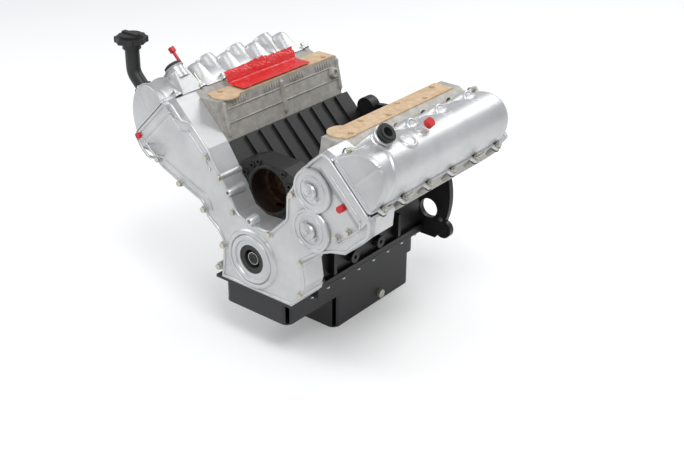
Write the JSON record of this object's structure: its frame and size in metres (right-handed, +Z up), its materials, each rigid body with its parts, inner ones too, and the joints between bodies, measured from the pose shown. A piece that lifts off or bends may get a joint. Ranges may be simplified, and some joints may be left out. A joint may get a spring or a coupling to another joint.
{
  "type": "v8 engine",
  "caption": "Long block of a 90 degree V engine with heads, cam covers, timing cover, crank, pistons, cams and sump.",
  "frame": {"origin": "on the crank's axis, at the rear face of its flange", "axes": "+Y along the crank towards the flywheel end, +Z up, +X towards the right bank"},
  "size_m": [0.8235, 0.557, 0.6847],
  "materials": {
    "cast_iron": "black, slightly oily casting",
    "cast_aluminium": "sand-cast, dull",
    "silver_paint": "sprayed silver, low sheen",
    "machined_steel": "machined and oiled",
    "black_steel": "black phosphate",
    "zinc_steel": "zinc plated",
    "bearing_shell": "plain bearing shell",
    "gasket_steel": "coated layered steel",
    "black_rubber": "moulded",
    "piston_alloy": "machined alloy",
    "pan_paint": "black painted pressing",
    "guide_plastic": "moulded nylon",
    "cover_board": "hard brown board",
    "red_film": "thin see-through film",
    "red_plastic": "soft moulded caps",
    "black_plastic": "moulded",
    "brass": "pressed cup"
  },
  "bodies": {
    "long_block": {"engine_block": "cast_iron", "main_caps": "cast_iron", "main_bearings": "bearing_shell", "main_cap_bolts": "black_steel", "rear_seal_retainer": "cast_aluminium", "crank_seals": "black_rubber", "right_cylinder_head": "cast_aluminium", "left_cylinder_head": "cast_aluminium", "head_gaskets": "gasket_steel", "head_bolts": "black_steel", "right_cam_cover": "silver_paint", "left_cam_cover": "silver_paint", "cam_cover_gaskets": "black_rubber", "cam_cover_bolts": "zinc_steel", "front_cover": "silver_paint", "front_cover_bolts": "zinc_steel", "oil_pan": "pan_paint", "oil_pan_fasteners": "zinc_steel", "windage_tray": "machined_steel", "oil_pickup": "machined_steel", "oil_pump_housing": "cast_aluminium", "cam_caps": "cast_aluminium", "timing_chains": "machined_steel", "chain_guides": "guide_plastic", "intake_valves": "machined_steel", "exhaust_valves": "machined_steel", "valve_springs": "machined_steel", "cam_followers": "machined_steel", "port_covers": "cover_board", "protective_film": "red_film", "port_plugs": "red_plastic", "vct_connector_seals": "black_rubber", "oil_filler_tube": "black_plastic", "core_plugs": "brass"},
    "crank": {"crankshaft": "machined_steel", "crank_sprockets": "machined_steel", "oil_pump_inner_rotor": "machined_steel"},
    "pump_ring": {"oil_pump_outer_rotor": "machined_steel"},
    "right_cam": {"right_camshaft": "machined_steel", "right_cam_phaser": "machined_steel"},
    "left_cam": {"left_camshaft": "machined_steel", "left_cam_phaser": "machined_steel"},
    "cap_seal": {"oil_cap_seal": "black_rubber"},
    "filler_cap": {"oil_filler_cap": "black_plastic"},
    "piston_1": {"piston_1": "piston_alloy"},
    "rod_1": {"rod_1": "machined_steel"},
    "piston_2": {"piston_2": "piston_alloy"},
    "rod_2": {"rod_2": "machined_steel"},
    "piston_3": {"piston_3": "piston_alloy"},
    "rod_3": {"rod_3": "machined_steel"},
    "piston_4": {"piston_4": "piston_alloy"},
    "rod_4": {"rod_4": "machined_steel"},
    "piston_5": {"piston_5": "piston_alloy"},
    "rod_5": {"rod_5": "machined_steel"},
    "piston_6": {"piston_6": "piston_alloy"},
    "rod_6": {"rod_6": "machined_steel"},
    "piston_7": {"piston_7": "piston_alloy"},
    "rod_7": {"rod_7": "machined_steel"},
    "piston_8": {"piston_8": "piston_alloy"},
    "rod_8": {"rod_8": "machined_steel"}
  },
  "joints": [
    {"name": "crank_turn", "type": "hinge", "parent": "long_block", "child": "crank", "pos_m": [0, 0, 0], "axis": [0, 1, 0], "range_deg": [-8, 8]},
    {"name": "piston_1_slide", "type": "slide", "parent": "long_block", "child": "piston_1", "axis": [0.7071, 0, 0.7071], "range_m": [-0.0066, 0.0066]},
    {"name": "rod_1_swing", "type": "hinge", "parent": "piston_1", "child": "rod_1", "pos_m": [0.14306, -0.388, 0.14306], "axis": [0, 1, 0], "range_deg": [-1.87, 1.87]},
    {"name": "piston_2_slide", "type": "slide", "parent": "long_block", "child": "piston_2", "axis": [0.7071, 0, 0.7071], "range_m": [-0.0066, 0.0066]},
    {"name": "rod_2_swing", "type": "hinge", "parent": "piston_2", "child": "rod_2", "pos_m": [0.14306, -0.288, 0.14306], "axis": [0, 1, 0], "range_deg": [-1.87, 1.87]},
    {"name": "piston_3_slide", "type": "slide", "parent": "long_block", "child": "piston_3", "axis": [0.7071, 0, 0.7071], "range_m": [-0.00416, 0.00416]},
    {"name": "rod_3_swing", "type": "hinge", "parent": "piston_3", "child": "rod_3", "pos_m": [0.09016, -0.188, 0.09016], "axis": [0, 1, 0], "range_deg": [-1.87, 1.87]},
    {"name": "piston_4_slide", "type": "slide", "parent": "long_block", "child": "piston_4", "axis": [0.7071, 0, 0.7071], "range_m": [-0.00416, 0.00416]},
    {"name": "rod_4_swing", "type": "hinge", "parent": "piston_4", "child": "rod_4", "pos_m": [0.09016, -0.088, 0.09016], "axis": [0, 1, 0], "range_deg": [-1.87, 1.87]},
    {"name": "piston_5_slide", "type": "slide", "parent": "long_block", "child": "piston_5", "axis": [-0.7071, 0, 0.7071], "range_m": [-0.0066, 0.0066]},
    {"name": "rod_5_swing", "type": "hinge", "parent": "piston_5", "child": "rod_5", "pos_m": [-0.14306, -0.408, 0.14306], "axis": [0, 1, 0], "range_deg": [-1.87, 1.87]},
    {"name": "piston_6_slide", "type": "slide", "parent": "long_block", "child": "piston_6", "axis": [-0.7071, 0, 0.7071], "range_m": [-0.00416, 0.00416]},
    {"name": "rod_6_swing", "type": "hinge", "parent": "piston_6", "child": "rod_6", "pos_m": [-0.09016, -0.308, 0.09016], "axis": [0, 1, 0], "range_deg": [-1.87, 1.87]},
    {"name": "piston_7_slide", "type": "slide", "parent": "long_block", "child": "piston_7", "axis": [-0.7071, 0, 0.7071], "range_m": [-0.0066, 0.0066]},
    {"name": "rod_7_swing", "type": "hinge", "parent": "piston_7", "child": "rod_7", "pos_m": [-0.14306, -0.208, 0.14306], "axis": [0, 1, 0], "range_deg": [-1.87, 1.87]},
    {"name": "piston_8_slide", "type": "slide", "parent": "long_block", "child": "piston_8", "axis": [-0.7071, 0, 0.7071], "range_m": [-0.00416, 0.00416]},
    {"name": "rod_8_swing", "type": "hinge", "parent": "piston_8", "child": "rod_8", "pos_m": [-0.09016, -0.108, 0.09016], "axis": [0, 1, 0], "range_deg": [-1.87, 1.87]},
    {"name": "right_cam_turn", "type": "hinge", "parent": "long_block", "child": "right_cam", "pos_m": [0.29345, -0.47, 0.26941], "axis": [0, 1, 0], "range_deg": [-4, 4]},
    {"name": "left_cam_turn", "type": "hinge", "parent": "long_block", "child": "left_cam", "pos_m": [-0.29345, -0.47, 0.26941], "axis": [0, 1, 0], "range_deg": [-4, 4]},
    {"name": "pump_ring_turn", "type": "hinge", "parent": "long_block", "child": "pump_ring", "pos_m": [0.004, -0.4766, 0], "axis": [0, 1, 0], "range_deg": [-7.2, 7.2]},
    {"name": "cap_lift", "type": "slide", "parent": "long_block", "child": "cap_seal", "axis": [0, 0, 1], "range_m": [0, 0.04]},
    {"name": "cap_twist", "type": "hinge", "parent": "cap_seal", "child": "filler_cap", "pos_m": [-0.40305, -0.495, 0.42048], "axis": [0, 0, 1], "range_deg": [0, 90]}
  ],
  "couplings": [
    {"joint": "piston_1_slide", "follows": "crank_turn", "m_per_rad": 0.045891},
    {"joint": "rod_1_swing", "follows": "crank_turn", "ratio": -0.22682},
    {"joint": "piston_2_slide", "follows": "crank_turn", "m_per_rad": -0.045891},
    {"joint": "rod_2_swing", "follows": "crank_turn", "ratio": -0.22682},
    {"joint": "piston_3_slide", "follows": "crank_turn", "m_per_rad": 0.028921},
    {"joint": "rod_3_swing", "follows": "crank_turn", "ratio": 0.22682},
    {"joint": "piston_4_slide", "follows": "crank_turn", "m_per_rad": -0.028921},
    {"joint": "rod_4_swing", "follows": "crank_turn", "ratio": 0.22682},
    {"joint": "piston_5_slide", "follows": "crank_turn", "m_per_rad": -0.045891},
    {"joint": "rod_5_swing", "follows": "crank_turn", "ratio": -0.22682},
    {"joint": "piston_6_slide", "follows": "crank_turn", "m_per_rad": -0.028921},
    {"joint": "rod_6_swing", "follows": "crank_turn", "ratio": 0.22682},
    {"joint": "piston_7_slide", "follows": "crank_turn", "m_per_rad": 0.045891},
    {"joint": "rod_7_swing", "follows": "crank_turn", "ratio": -0.22682},
    {"joint": "piston_8_slide", "follows": "crank_turn", "m_per_rad": 0.028921},
    {"joint": "rod_8_swing", "follows": "crank_turn", "ratio": 0.22682},
    {"joint": "right_cam_turn", "follows": "crank_turn", "ratio": 0.5},
    {"joint": "left_cam_turn", "follows": "crank_turn", "ratio": 0.5},
    {"joint": "pump_ring_turn", "follows": "crank_turn", "ratio": 0.88889}
  ]
}
